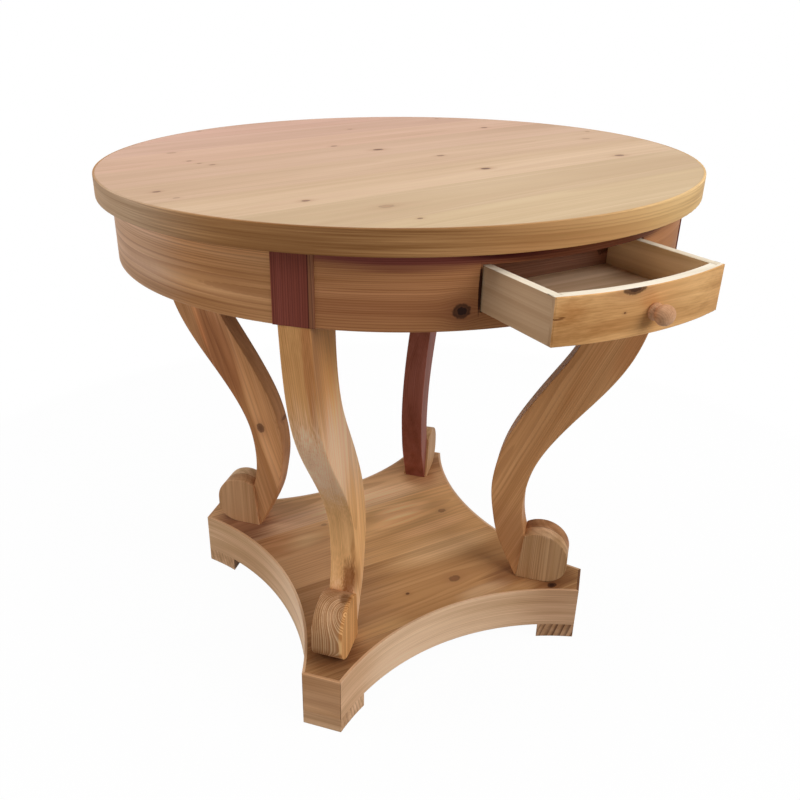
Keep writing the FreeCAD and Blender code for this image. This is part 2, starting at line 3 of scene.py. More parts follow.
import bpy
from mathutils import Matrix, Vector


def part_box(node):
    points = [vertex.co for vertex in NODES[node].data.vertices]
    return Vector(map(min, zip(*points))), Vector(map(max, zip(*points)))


bl_info = {
    "name": "Tavern table looks",
    "version": (1, 0, 0),
    "blender": (4, 5, 0),
    "location": "3D View > Sidebar > Table",
    "description": "Timbers, lacquer, stage and camera for a round tavern table with a curved drawer",
    "category": "Material",
}

from math import atan2, cos, exp, hypot, pi, radians, sin

import bpy
import numpy as np
from mathutils import Euler, Matrix, Vector

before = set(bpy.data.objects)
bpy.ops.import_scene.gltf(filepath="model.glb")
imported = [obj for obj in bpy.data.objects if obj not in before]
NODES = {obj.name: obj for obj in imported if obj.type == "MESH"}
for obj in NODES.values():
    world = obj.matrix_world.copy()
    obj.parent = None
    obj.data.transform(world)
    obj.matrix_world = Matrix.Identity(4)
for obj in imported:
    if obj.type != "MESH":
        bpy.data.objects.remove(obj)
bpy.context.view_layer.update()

SIDES = {"front": -90, "right": 0, "back": 90, "left": 180}
CORNERS = {"front_right": -45, "back_right": 45, "back_left": 135, "front_left": -135}


# ---------------------------------------------------------------- settings


class TimberSettings(bpy.types.PropertyGroup):
    """The finish that all the pine pieces share."""

    ring_width: bpy.props.FloatProperty(
        name="Ring width", description="Growth of the pine in one year", default=0.0030, min=0.0005,
        unit="LENGTH",
    )
    lacquer: bpy.props.FloatProperty(
        name="Lacquer", description="How strongly the clear lacquer shines over the timber", default=0.02,
        min=0, max=1, subtype="FACTOR",
    )
    lacquer_roughness: bpy.props.FloatProperty(
        name="Lacquer roughness", description="How far the lacquer blurs what it mirrors", default=0.32,
        min=0, max=1, subtype="FACTOR",
    )
    relief: bpy.props.FloatProperty(
        name="Grain relief", description="Height of the latewood over the earlywood", default=0.00012,
        min=0, unit="LENGTH",
    )
    arris: bpy.props.FloatProperty(
        name="Arris", description="Radius to which the edges were rubbed down", default=0.0010, min=0,
        unit="LENGTH",
    )
    wear: bpy.props.FloatProperty(
        name="Wear", description="How far the rubbed edges have paled", default=0.2, min=0, max=1,
        subtype="FACTOR",
    )
    knot: bpy.props.FloatVectorProperty(
        name="Knot", description="Colour of the knots' cores", default=(0.035, 0.015, 0.010), min=0,
        max=1, subtype="COLOR",
    )
    halo: bpy.props.FloatVectorProperty(
        name="Knot halo", description="Colour of the resinous timber round a knot",
        default=(0.34, 0.13, 0.06), min=0, max=1, subtype="COLOR",
    )


class StageSettings(bpy.types.PropertyGroup):
    """The lights, the floor and the camera."""

    overhead: bpy.props.FloatProperty(
        name="Overhead light", description="Power of the big lamp over the table", default=31, min=0,
        unit="POWER",
    )
    key: bpy.props.FloatProperty(
        name="Key light", description="Power of the softbox in front on the right", default=77, min=0,
        unit="POWER",
    )
    fill: bpy.props.FloatProperty(
        name="Fill light", description="Power of the softbox behind on the left", default=36, min=0,
        unit="POWER",
    )
    front_fill: bpy.props.FloatProperty(
        name="Front fill light", description="Power of the softbox in front on the left", default=11,
        min=0, unit="POWER",
    )
    ambient: bpy.props.FloatProperty(
        name="Ambient", description="Strength of the light from all round", default=0.10, min=0,
    )
    floor: bpy.props.FloatVectorProperty(
        name="Floor", description="Colour of the light that the floor throws back at the table",
        default=(0.25, 0.25, 0.25), min=0, max=1, subtype="COLOR",
    )
    floor_seen: bpy.props.FloatVectorProperty(
        name="Floor as seen", description="Colour of the floor where it is looked at",
        default=(1.0, 1.0, 1.0), min=0, max=1, subtype="COLOR",
    )
    lens: bpy.props.FloatProperty(
        name="Lens", description="Focal length on a sensor 36 mm wide", default=36.036, min=1,
        subtype="DISTANCE_CAMERA",
    )


# ---------------------------------------------------------------- nodes


class Net:
    """Adds nodes to one node tree and joins them up."""

    def __init__(self, tree):
        self.tree = tree

    def feed(self, socket, value):
        """Links a socket to another one, or gives it a plain value."""
        if isinstance(value, bpy.types.NodeSocket):
            self.tree.links.new(value, socket)
        elif socket.type == "RGBA":
            socket.default_value = (*value[:3], 1)
        else:
            socket.default_value = value

    def fill(self, node, inputs):
        """Feeds a node's inputs, by their names or their numbers."""
        for name, value in inputs.items():
            self.feed(node.inputs[name], value)

    def add(self, kind, inputs=None, **settings):
        node = self.tree.nodes.new(kind)
        for name, value in settings.items():
            setattr(node, name, value)
        self.fill(node, inputs or {})
        return node

    def math(self, operation, *values):
        return self.add("ShaderNodeMath", dict(enumerate(values)), operation=operation).outputs[0]

    def vector(self, operation, *values):
        node = self.add("ShaderNodeVectorMath", dict(enumerate(values)), operation=operation)
        return node.outputs["Value" if operation in ("LENGTH", "DOT_PRODUCT") else "Vector"]

    def noise(self, place, detail=2.0, output="Fac"):
        inputs = {"Vector": place, "Scale": 1.0, "Detail": detail}
        return self.add("ShaderNodeTexNoise", inputs).outputs[output]

    def smooth(self, value, low, high):
        """0 below low, 1 above high, and a smooth rise between them."""
        inputs = {"Value": value, "From Min": low, "From Max": high}
        return self.add("ShaderNodeMapRange", inputs, interpolation_type="SMOOTHSTEP").outputs[0]

    def span(self, value, low, high):
        """Brings 0 to 1 over to low to high."""
        return self.add("ShaderNodeMapRange", {"Value": value, "To Min": low, "To Max": high}).outputs[0]

    def mix(self, share, first, second):
        """Mixes two colours."""
        node = self.add("ShaderNodeMix", data_type="RGBA")
        self.feed(node.inputs["Factor"], share)
        colours = [socket for socket in node.inputs if socket.type == "RGBA"]
        self.feed(colours[0], first)
        self.feed(colours[1], second)
        return [socket for socket in node.outputs if socket.type == "RGBA"][0]

    def parts(self, place):
        return self.add("ShaderNodeSeparateXYZ", {"Vector": place}).outputs[:]

    def join(self, x, y, z):
        return self.add("ShaderNodeCombineXYZ", {"X": x, "Y": y, "Z": z}).outputs[0]

    def group(self, name, inputs):
        return self.add("ShaderNodeGroup", inputs, node_tree=shared(name)).outputs

    def seen(self):
        """1 where the eye looks, straight on, in a mirror or through glass, and 0 where light bounces."""
        rays = self.add("ShaderNodeLightPath").outputs
        seen = self.math("MAXIMUM", rays["Is Camera Ray"], rays["Is Glossy Ray"])
        return self.math("MAXIMUM", seen, rays["Is Transmission Ray"])


def new_group(name, inputs, outputs):
    """An empty node group, its sockets sorted by kind. Returns its tree, net, inputs and output node."""
    tree = bpy.data.node_groups.new(name, "ShaderNodeTree")
    for way, sockets in (("INPUT", inputs), ("OUTPUT", outputs)):
        for kind, names in sockets.items():
            for socket in names:
                tree.interface.new_socket(socket, in_out=way, socket_type="NodeSocket" + kind)
    net = Net(tree)
    return tree, net, net.add("NodeGroupInput").outputs, net.add("NodeGroupOutput")


def bent_strip_group():
    """Straightens a strip bent about an upright axis.
    Along = radius * angle from the strip's middle, across = height,
    deep = distance from the axis - radius."""
    tree, net, given, result = new_group(
        "Bent strip", {"Vector": ("Place", "Axis", "Middle"), "Float": ("Radius",)},
        {"Vector": ("Board",)},
    )
    x, y, z = net.parts(net.vector("SUBTRACT", given["Place"], given["Axis"]))
    flat = net.join(x, y, 0.0)
    ahead = net.vector("DOT_PRODUCT", flat, given["Middle"])
    middle_x, middle_y, _ = net.parts(given["Middle"])
    aside = net.math("SUBTRACT", net.math("MULTIPLY", middle_x, y), net.math("MULTIPLY", middle_y, x))
    along = net.math("MULTIPLY", given["Radius"], net.math("ARCTAN2", aside, ahead))
    deep = net.math("SUBTRACT", net.vector("LENGTH", flat), given["Radius"])
    net.feed(result.inputs["Board"], net.join(along, z, deep))
    return tree


def knot_group():
    """Adds a knot to a board: its core, its rim, its halo and the grain that bends round it.
    With d the distance from its centre in radii, halo = exp(-d * d / 5), and it draws the grain in."""
    tree, net, given, result = new_group(
        "Knot",
        {
            "Vector": ("Place", "Bent", "Centre", "Radii"),
            "Float": ("Core", "Rim", "Halo", "Darkness"),
        },
        {"Vector": ("Bent",), "Float": ("Core", "Rim", "Halo")},
    )
    away = net.vector("SUBTRACT", given["Place"], given["Centre"])
    ragged = net.span(net.noise(net.vector("MULTIPLY", given["Place"], (260,) * 3)), -0.35, 0.35)
    distance = net.math("ADD", net.vector("LENGTH", net.vector("DIVIDE", away, given["Radii"])), ragged)
    square = net.math("MULTIPLY", distance, distance)
    halo = net.math("POWER", exp(-0.2), square)
    _, aside, _ = net.parts(away)
    drawn = net.math("MULTIPLY", aside, net.math("MULTIPLY", halo, -0.8))
    net.feed(result.inputs["Bent"], net.vector("ADD", given["Bent"], net.join(0.0, drawn, 0.0)))
    inside = net.math("SUBTRACT", 1.0, net.smooth(distance, 0.6, 1.05))
    outside = net.math("MULTIPLY", net.smooth(distance, 1.0, 1.4), given["Darkness"])
    bark = net.math("SUBTRACT", given["Darkness"], outside)
    masks = {
        "Core": net.math("MULTIPLY", inside, given["Darkness"]),
        "Rim": net.math("MULTIPLY", net.smooth(distance, 0.55, 0.95), bark),
        "Halo": net.math("MULTIPLY", halo, given["Darkness"]),
    }
    net.fill(result, {name: net.math("MAXIMUM", given[name], mask) for name, mask in masks.items()})
    return tree


def tint_group():
    """Tints a patch of timber, which ends raggedly along the grain; the pieces use it for real patches of
    colour and for painted light and painted shade.
    Within the radii round the centre the colour is multiplied by the tone, out to the soft edge's width."""
    tree, net, given, result = new_group(
        "Tint",
        {
            "Color": ("Colour", "Tone"),
            "Vector": ("Place", "Centre", "Radii"),
            "Float": ("Streak", "Edge"),
        },
        {"Color": ("Colour",)},
    )
    away = net.vector("DIVIDE", net.vector("SUBTRACT", given["Place"], given["Centre"]), given["Radii"])
    frayed = net.math("MULTIPLY", net.math("SUBTRACT", given["Streak"], 0.5), given["Edge"])
    distance = net.math("ADD", net.vector("LENGTH", away), net.math("MULTIPLY", frayed, 3.0))
    inner = net.math("SUBTRACT", 1.0, given["Edge"])
    outer = net.math("ADD", 1.0, given["Edge"])
    share = net.smooth(distance, inner, outer)
    tone = net.mix(share, given["Tone"], (1, 1, 1))
    net.feed(result.inputs["Colour"], net.vector("MULTIPLY", given["Colour"], tone))
    return tree


def edges_group():
    """Rounds a piece's edges and finds where they are rubbed.
    With b the normal averaged over the radius and n the face's own, rubbed rises with 1 - b . n."""
    tree, net, given, result = new_group(
        "Rubbed edges", {"Vector": ("Place",), "Float": ("Radius",)},
        {"Vector": ("Normal",), "Float": ("Rubbed",)},
    )
    rounded = net.add("ShaderNodeBevel", {"Radius": given["Radius"]}, samples=6).outputs[0]
    face = net.add("ShaderNodeNewGeometry").outputs["Normal"]
    turned = net.math("SUBTRACT", 1.0, net.vector("DOT_PRODUCT", rounded, face))
    patchy = net.noise(net.vector("MULTIPLY", given["Place"], (45,) * 3), 3.0)
    rubbed = net.math("MULTIPLY", net.smooth(turned, 0.01, 0.2), net.smooth(patchy, 0.35, 0.65))
    net.fill(result, {"Normal": rounded, "Rubbed": rubbed})
    return tree


def rings_group():
    """The years of a log whose pith runs along X.
    Years = distance from the wavering, tapering pith / ring width. Each year darkens to its latewood."""
    tree, net, given, result = new_group(
        "Growth rings", {"Vector": ("Board", "Pith"), "Float": ("Ring width", "Taper", "Wander", "Seed")},
        {"Float": ("Late", "Year", "Spell")},
    )
    shift = net.join(given["Seed"], given["Seed"], given["Seed"])
    broad = net.vector("ADD", net.vector("MULTIPLY", given["Board"], (2.4, 13, 13)), shift)
    sway = net.vector("SUBTRACT", net.noise(broad, 2.0, "Color"), (0.5, 0.5, 0.5))
    sway = net.vector("MULTIPLY", sway, net.join(0.0, given["Wander"], given["Wander"]))
    x, y, z = net.parts(net.vector("ADD", net.vector("SUBTRACT", given["Board"], given["Pith"]), sway))
    z = net.math("ADD", z, net.math("MULTIPLY", x, given["Taper"]))
    distance = net.vector("LENGTH", net.join(0.0, y, z))
    years = net.math("DIVIDE", distance, given["Ring width"])
    lean = net.noise(net.join(net.math("MULTIPLY", years, 0.35), given["Seed"], 0.0), 1.0)
    years = net.math("ADD", years, net.math("MULTIPLY", lean, 2.2))
    spell = net.noise(net.join(net.math("MULTIPLY", years, 0.21), given["Seed"], 7.7), 1.0)
    season = net.math("FRACT", years)
    number = net.math("ADD", net.math("FLOOR", years), given["Seed"])
    year = net.add("ShaderNodeTexWhiteNoise", {"W": number}, noise_dimensions="1D").outputs["Value"]
    rise = net.smooth(season, 0.30, 0.92)
    fall = net.math("SUBTRACT", 1.0, net.smooth(season, 0.94, 1.0))
    late = net.math("MULTIPLY", net.math("MULTIPLY", rise, fall), net.span(year, 0.45, 1.0))
    net.fill(result, {"Late": late, "Year": year, "Spell": spell})
    return tree


def fibre_group():
    """Fine streaks and longer stains along the grain, and blotches where a board took more lacquer."""
    tree, net, given, result = new_group(
        "Fibre", {"Vector": ("Board",), "Float": ("Seed",)}, {"Float": ("Streak", "Stain", "Blotch")},
    )
    shift = net.join(given["Seed"], given["Seed"], given["Seed"])

    def layer(scales, detail):
        stretched = net.vector("MULTIPLY", given["Board"], scales)
        return net.noise(net.vector("ADD", stretched, shift), detail)

    streaks = net.math("ADD", layer((7, 520, 520), 2.0), layer((4, 90, 90), 2.0))
    masks = {
        "Streak": net.math("MULTIPLY", streaks, 0.5),
        "Stain": layer((2.2, 48, 48), 1.5),
        "Blotch": layer((3, 16, 16), 3.0),
    }
    net.fill(result, masks)
    return tree


MASK_STRENGTHS = {"Streak": "streaks", "Stain": "stains", "Blotch": "blotches", "Spell": "spells"}


def finish_group():
    """Colours a board from its masks: early and late wood, streaks, stains, blotches and knots.
    The gain g of the masks darkens red by g, green by g ** 1.3 and blue by g ** 1.7."""
    tree, net, given, result = new_group(
        "Timber finish",
        {
            "Color": ("Early", "Late", "Knot", "Halo tone"),
            "Float": (
                "Late mask",
                "Late strength",
                "Year",
                *MASK_STRENGTHS,
                *(name + " strength" for name in MASK_STRENGTHS),
                "Core",
                "Rim",
                "Halo",
            ),
        },
        {"Color": ("Color",), "Float": ("Roughness", "Height")},
    )
    late = net.math("MULTIPLY", given["Late mask"], given["Late strength"])
    base = net.mix(late, given["Early"], given["Late"])
    gain = net.math("ADD", net.math("MULTIPLY", given["Year"], 0.06), 0.97)
    for name in MASK_STRENGTHS:
        swing = net.math("SUBTRACT", given[name], 0.5)
        gain = net.math("ADD", gain, net.math("MULTIPLY", swing, given[name + " strength"]))
    warm = net.math("POWER", gain, 1.3)
    deep = net.math("POWER", gain, 1.7)
    base = net.vector("MULTIPLY", base, net.join(gain, warm, deep))
    base = net.mix(net.math("MULTIPLY", given["Halo"], 0.55), base, given["Halo tone"])
    base = net.mix(given["Core"], base, net.mix(given["Core"], given["Halo tone"], given["Knot"]))
    base = net.mix(net.math("MULTIPLY", given["Rim"], 0.8), base, given["Knot"])
    dull = net.math("MULTIPLY", net.math("SUBTRACT", given["Streak"], 0.5), 0.25)
    dull = net.math("SUBTRACT", net.math("ADD", dull, 0.56), net.math("MULTIPLY", given["Late mask"], 0.08))
    height = net.math("ADD", given["Late mask"], net.math("MULTIPLY", given["Streak"], 0.9))
    height = net.math("SUBTRACT", height, net.math("MULTIPLY", given["Rim"], 1.2))
    net.fill(result, {"Color": base, "Roughness": dull, "Height": height})
    return tree


GROUPS = {}
GROUP_MAKERS = {
    "bent": bent_strip_group,
    "knot": knot_group,
    "tint": tint_group,
    "edges": edges_group,
    "rings": rings_group,
    "fibre": fibre_group,
    "finish": finish_group,
}


def shared(name):
    """A node group, built the first time it is asked for."""
    if name not in GROUPS:
        GROUPS[name] = GROUP_MAKERS[name]()
    return GROUPS[name]


# ---------------------------------------------------------------- timber


class StraightCut:
    """A board sawn straight: its grain runs along the X of its own frame."""

    def __init__(self, origin=(0, 0, 0), turn=(0, 0, 0)):
        self.origin = Vector(origin)
        self.turn = Euler([radians(angle) for angle in turn])

    def board(self, net, place):
        inputs = {"Vector": place, "Location": self.origin, "Rotation": self.turn}
        return net.add("ShaderNodeMapping", inputs, vector_type="TEXTURE").outputs[0]

    def place(self, point):
        return self.turn.to_matrix().inverted() @ (Vector(point) - self.origin)


class BentCut:
    """A strip bent about an upright axis: its grain runs round the axis."""

    def __init__(self, axis, middle, radius):
        self.axis = Vector((axis[0], axis[1], 0))
        self.middle = Vector((cos(radians(middle)), sin(radians(middle)), 0))
        self.radius = radius

    def board(self, net, place):
        inputs = {"Place": place, "Axis": self.axis, "Middle": self.middle, "Radius": self.radius}
        return net.group("bent", inputs)["Board"]

    def place(self, point):
        away = Vector(point) - self.axis
        angle = atan2(self.middle.x * away.y - self.middle.y * away.x, away.xy @ self.middle.xy)
        return Vector((self.radius * angle, away.z, hypot(away.x, away.y) - self.radius))


def srgb(red, green, blue):
    """A colour given in 0 to 255, as the linear values that shaders take."""
    values = np.array((red, green, blue)) / 255
    return tuple(np.where(values > 0.04045, ((values + 0.055) / 1.055) ** 2.4, values / 12.92))


USUAL_WOOD = {
    "pith": (0.01, -0.07),
    "rings": 1.0,
    "taper": 0.015,
    "wander": 0.010,
    "grain": 0.6,
    "spells": 0.6,
    "streaks": 0.8,
    "stains": 0.6,
    "blotches": 0.6,
    "knots": (),
    "tints": (),
    "seed": 0.0,
}


def timber(net, place, cut, early, late, **wood):
    """The colour, roughness and height of a timber.
    cut: how the piece lies in the log. early, late: colours.
    pith: where the log's centre is, across and deep.
    rings: width of a ring as a share of the usual. taper, wander: how the rings lean and waver.
    grain, spells, streaks, stains, blotches: strengths of the masks.
    knots: places, radii and darkness, in the object's own frame.
    tints: places, radii, widths of the soft edge and tones, likewise; some are real patches of colour, some
    painted light and painted shade."""
    settings = bpy.context.scene.table_timber
    wood = USUAL_WOOD | wood
    board = cut.board(net, place)
    state = {"Bent": board, "Core": 0.0, "Rim": 0.0, "Halo": 0.0}
    for centre, radii, darkness in wood["knots"]:
        inputs = {"Place": board, "Centre": cut.place(centre), "Radii": radii, "Darkness": darkness}
        made = net.group("knot", state | inputs)
        state = {name: made[name] for name in state}
    bent = state.pop("Bent")
    inputs = {"Board": bent, "Pith": (0.0, *wood["pith"]), "Seed": wood["seed"]}
    inputs.update({"Taper": wood["taper"], "Wander": wood["wander"]})
    inputs["Ring width"] = settings.ring_width * wood["rings"]
    rings = net.group("rings", inputs)
    fibre = net.group("fibre", {"Board": bent, "Seed": wood["seed"]})
    inputs = {"Early": early, "Late": late, "Knot": settings.knot, "Halo tone": settings.halo}
    inputs.update({"Late mask": rings["Late"], "Late strength": wood["grain"]})
    inputs.update({name: rings[name] for name in ("Year", "Spell")})
    inputs.update({name: fibre[name] for name in ("Streak", "Stain", "Blotch")})
    for name, strength in MASK_STRENGTHS.items():
        inputs[name + " strength"] = wood[strength]
    finished = net.group("finish", inputs | state)
    look = {name: finished[name] for name in ("Color", "Roughness", "Height")}
    for centre, radii, edge, tone in wood["tints"]:
        inputs = {"Colour": look["Color"], "Place": board, "Streak": fibre["Streak"]}
        inputs.update({"Centre": cut.place(centre), "Radii": radii, "Edge": edge, "Tone": tone})
        look["Color"] = net.group("tint", inputs)["Colour"]
    return look


def new_material(name):
    """An empty material. Returns it, its net, its place on the object and its Principled shader."""
    material = bpy.data.materials.new(name)
    material.use_nodes = True
    net = Net(material.node_tree)
    place = net.add("ShaderNodeTexCoord").outputs["Object"]
    return material, net, place, net.tree.nodes["Principled BSDF"]


RUBBED_TONE = (1.35, 1.4, 1.5)


def coat(net, shader, place, look, lacquer=1.0):
    """Feeds a timber's look to its shader, with its edges rubbed, under the lacquer."""
    settings = bpy.context.scene.table_timber
    edges = net.group("edges", {"Place": place, "Radius": settings.arris})
    rubbed = net.math("MULTIPLY", edges["Rubbed"], settings.wear)
    pale = net.vector("MULTIPLY", look["Color"], RUBBED_TONE)
    bump = {"Height": look["Height"], "Strength": 0.6, "Distance": settings.relief}
    inputs = {
        "Base Color": net.mix(rubbed, look["Color"], pale),
        "Roughness": look["Roughness"],
        "Normal": net.add("ShaderNodeBump", bump | {"Normal": edges["Normal"]}).outputs[0],
        "Specular IOR Level": 0.06,
        "Coat Weight": settings.lacquer * lacquer,
        "Coat Roughness": settings.lacquer_roughness,
    }
    net.fill(shader, inputs)


def finish_node(node, material):
    """Gives a CAD node its material."""
    for slot in NODES[node].material_slots:
        slot.material = material


def finish_timber(node, cut, early, late, **wood):
    """Gives a CAD node a material of one timber. Returns that material."""
    material, net, place, shader = new_material(node)
    coat(net, shader, place, timber(net, place, cut, early, late, **wood))
    finish_node(node, material)
    return material


def standing(angle, reach, rise, lean=0.0):
    """A cut whose grain stands upright, at a reach from the table's axis, with its Z facing inwards."""
    direction = radians(angle)
    origin = (reach * cos(direction), reach * sin(direction), rise)
    return StraightCut(origin, (0, -90 + lean, angle))


# ---------------------------------------------------------------- top

TOP_TURN = 6.0
TOP_BOARD_WIDTH = 0.1016
TOP_EDGE_RADIUS = 0.4065
TOP_KNOTS = (
    ((-0.356, -0.080), 0.0028, 0.68),
    ((-0.345, -0.122), 0.0024, 0.34),
    ((-0.268, 0.171), 0.0040, 0.30),
    ((-0.265, 0.094), 0.0022, 0.59),
    ((-0.246, 0.051), 0.0022, 0.59),
    ((-0.258, 0.070), 0.0018, 0.51),
    ((-0.225, -0.205), 0.0030, 0.64),
    ((-0.038, 0.106), 0.0029, 0.59),
    ((0.0035, 0.0455), 0.0046, 0.77),
    ((0.054, -0.042), 0.0032, 0.59),
    ((0.052, -0.150), 0.0038, 0.81),
    ((0.266, -0.162), 0.0040, 0.68),
    ((0.328, -0.027), 0.0040, 0.26),
    ((0.266, 0.150), 0.0032, 0.68),
    ((0.063, 0.250), 0.0024, 0.42),
    ((-0.161, -0.270), 0.0052, 0.26),
    ((-0.158, -0.331), 0.0018, 0.68),
    ((0.259, 0.287), 0.0024, 0.51),
    ((-0.168, 0.358), 0.0024, 0.42),
    ((0.381, 0.028), 0.0024, 0.42),
)


def board_knots(low, high, knots):
    """The knots that lie in one board's box, on its upper face, drawn out along the grain."""
    return [
        ((x, y, high.z), (radius * 1.5, radius, 0.02), darkness)
        for (x, y), radius, darkness in knots
        if low.x < x < high.x and low.y - radius < y < high.y + radius
    ]


class TABLE_OT_top(bpy.types.Operator):
    """Finish the top's boards and its edge band"""

    bl_idname = "tavern_table.top"
    bl_label = "Top"

    def execute(self, context):
        pink = srgb(212, 170, 149)
        cream = srgb(208, 181, 144)
        late = srgb(182, 131, 98)
        for number in range(1, 9):
            node = f"top_board_{number}"
            low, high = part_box(node)
            share = (number - 1) / 7
            early = np.array(cream) * (1 - share) + np.array(pink) * share
            tone = 1 + 0.035 * sin(number * 2.4)
            cut = StraightCut((low + high) / 2, (0, 0, TOP_TURN))
            finish_timber(
                node, cut, tuple(early * tone), late,
                pith=(0.03 * sin(number * 1.7), -0.06 - 0.02 * cos(number * 2.9)), rings=1.1,
                taper=0.010 * cos(number * 3.1), wander=0.007, grain=0.20, streaks=0.22, stains=0.16,
                spells=0.16, blotches=0.25,
                knots=[knot for knot in board_knots(low, high, TOP_KNOTS) if self.in_board(knot, cut)],
                seed=number * 7.3,
            )
        band = BentCut((0, 0), -90, TOP_EDGE_RADIUS)
        finish_timber(
            "top_edge_band", band, srgb(196, 148, 98), srgb(147, 95, 57), pith=(0.70, -0.07), rings=0.8,
            wander=0.006, grain=0.4,
            tints=[
                # painted shade where the band faces away from the lamps, front left
                ((-0.302, -0.272, 0.745), (0.14, 0.05, 0.05), 0.7, (0.63, 0.55, 0.47)),
                # painted reflection: a pale bluish sheen at the band's left end
                ((-0.400, -0.070, 0.745), (0.12, 0.05, 0.05), 0.7, (1.02, 1.27, 1.9)),
                # painted light and sheen where the band faces the key light, front right
                ((0.210, -0.348, 0.745), (0.20, 0.05, 0.05), 0.7, (1.36, 1.64, 1.75)),
            ],
            seed=91.0,
        )
        return {"FINISHED"}

    @staticmethod
    def in_board(knot, cut):
        """Whether a knot reaches into the board's own width, measured across its grain."""
        centre, radii, _ = knot
        return abs(cut.place(centre).y) < TOP_BOARD_WIDTH / 2 + radii[1]


# ---------------------------------------------------------------- aprons

APRON_RADIUS = 0.386


class TABLE_OT_aprons(bpy.types.Operator):
    """Finish the curved aprons and the blocks between them"""

    bl_idname = "tavern_table.aprons"
    bl_label = "Aprons"

    def execute(self, context):
        knots = {"front": [((-0.1247, -0.3625, 0.668), (0.0080, 0.0066, 0.02), 1.0)]}
        tones = dict.fromkeys(SIDES, (srgb(181, 124, 80), srgb(129, 75, 43)))
        tones["left"] = (srgb(201, 147, 99), srgb(144, 88, 54))
        tints = {
            "front": [
                # painted shadow: the head rail over the drawer's window darkened as if in the top's shade
                ((0.03, -0.386, 0.727), (0.150, 0.015, 0.02), 0.2, (0.36, 0.28, 0.33)),
                # darker along the bottom edge, left of the drawer
                ((-0.20, -0.340, 0.672), (0.12, 0.016, 0.02), 0.5, (0.86, 0.80, 0.80)),
                # painted shade under the top's overhang along the apron's upper edge
                ((-0.17, -0.346, 0.738), (0.17, 0.024, 0.02), 0.3, (0.52, 0.32, 0.6)),
                # painted shadow: a dark line down the window's left edge, as in the gap beside the drawer
                ((-0.1086, -0.370, 0.690), (0.0016, 0.026, 0.02), 0.2, (0.08, 0.05, 0.05)),
            ],
            "left": [
                # a paler band along the top of the left apron
                ((-0.386, 0.0, 0.727), (0.5, 0.010, 0.02), 0.10, (1.2, 1.2, 1.2)),
                # painted sheen: a paler, bluish patch over the left apron's middle
                ((-0.385, -0.020, 0.69), (0.12, 0.08, 0.05), 0.4, (1.1, 1.35, 1.95)),
            ],
        }
        for number, (side, angle) in enumerate(SIDES.items()):
            finish_timber(
                "apron_" + side, BentCut((0, 0), angle, APRON_RADIUS), *tones[side],
                pith=(0.62 + 0.02 * number, -0.05), rings=0.62, taper=0.0, wander=0.0035, grain=0.55,
                stains=0.5, knots=knots.get(side, ()), tints=tints.get(side, ()), seed=11.0 + number,
            )
        for number, (corner, angle) in enumerate(CORNERS.items()):
            finish_timber(
                "corner_block_" + corner, standing(angle, 0.375, 0.68), srgb(132, 68, 54),
                srgb(76, 32, 28), pith=(0.05, 0.03), rings=0.7, grain=0.6, tints=self.block_tints(angle),
                seed=31.0 + number,
            )
        return {"FINISHED"}

    @staticmethod
    def block_tints(angle):
        """A paler strip down a block's right-hand edge, with a dark line beside it."""
        cut = standing(angle, 0.389, 0.69)
        beside = [cut.turn.to_matrix() @ Vector((0, aside, 0)) + cut.origin for aside in (0.0215, 0.0172)]
        return [
            (beside[0], (0.2, 0.0037, 0.02), 0.12, (1.3, 2.1, 1.6)),
            (beside[1], (0.2, 0.0006, 0.02), 0.3, (0.45, 0.4, 0.4)),
        ]


# ---------------------------------------------------------------- legs


